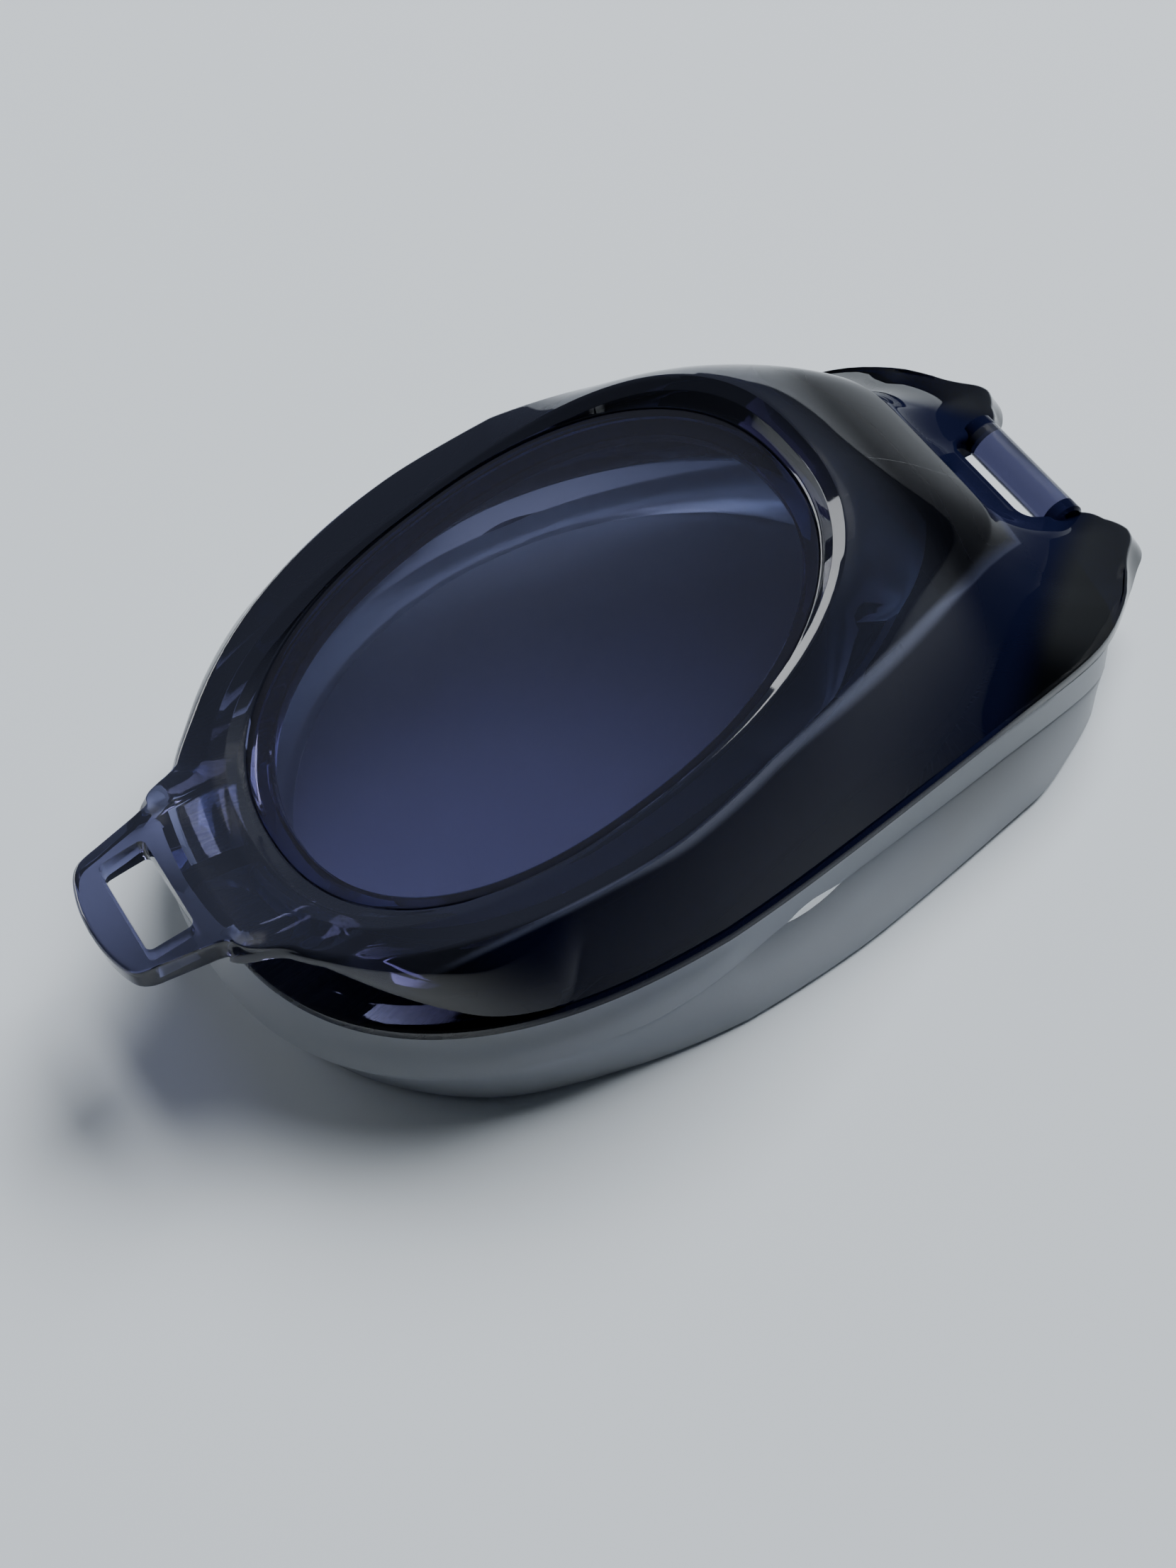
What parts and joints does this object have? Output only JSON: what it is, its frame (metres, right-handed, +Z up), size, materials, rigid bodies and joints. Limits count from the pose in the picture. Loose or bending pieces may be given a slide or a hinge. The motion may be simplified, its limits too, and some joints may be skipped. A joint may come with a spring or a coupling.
{
  "type": "swim goggle eyepiece",
  "caption": "Tinted oval swim goggle eyepiece with a nose strap tab, a head strap bar between ears, a flat lens and a soft face gasket.",
  "frame": {"origin": "centre of the footprint, on the plane the gasket rests on", "axes": "+X from the nose tab to the strap bar, +Z up through the lens, Y across the eyepiece"},
  "size_m": [0.0797, 0.0458, 0.0258],
  "materials": {
    "smoke_polycarbonate": "glossy, smoke-blue transparent moulding",
    "smoke_lens": "glossy, smoke-blue transparent, flat",
    "clear_silicone": "soft translucent silicone"
  },
  "bodies": {
    "root": {"frame": "smoke_polycarbonate", "lens": "smoke_lens", "gasket": "clear_silicone"}
  },
  "joints": []
}
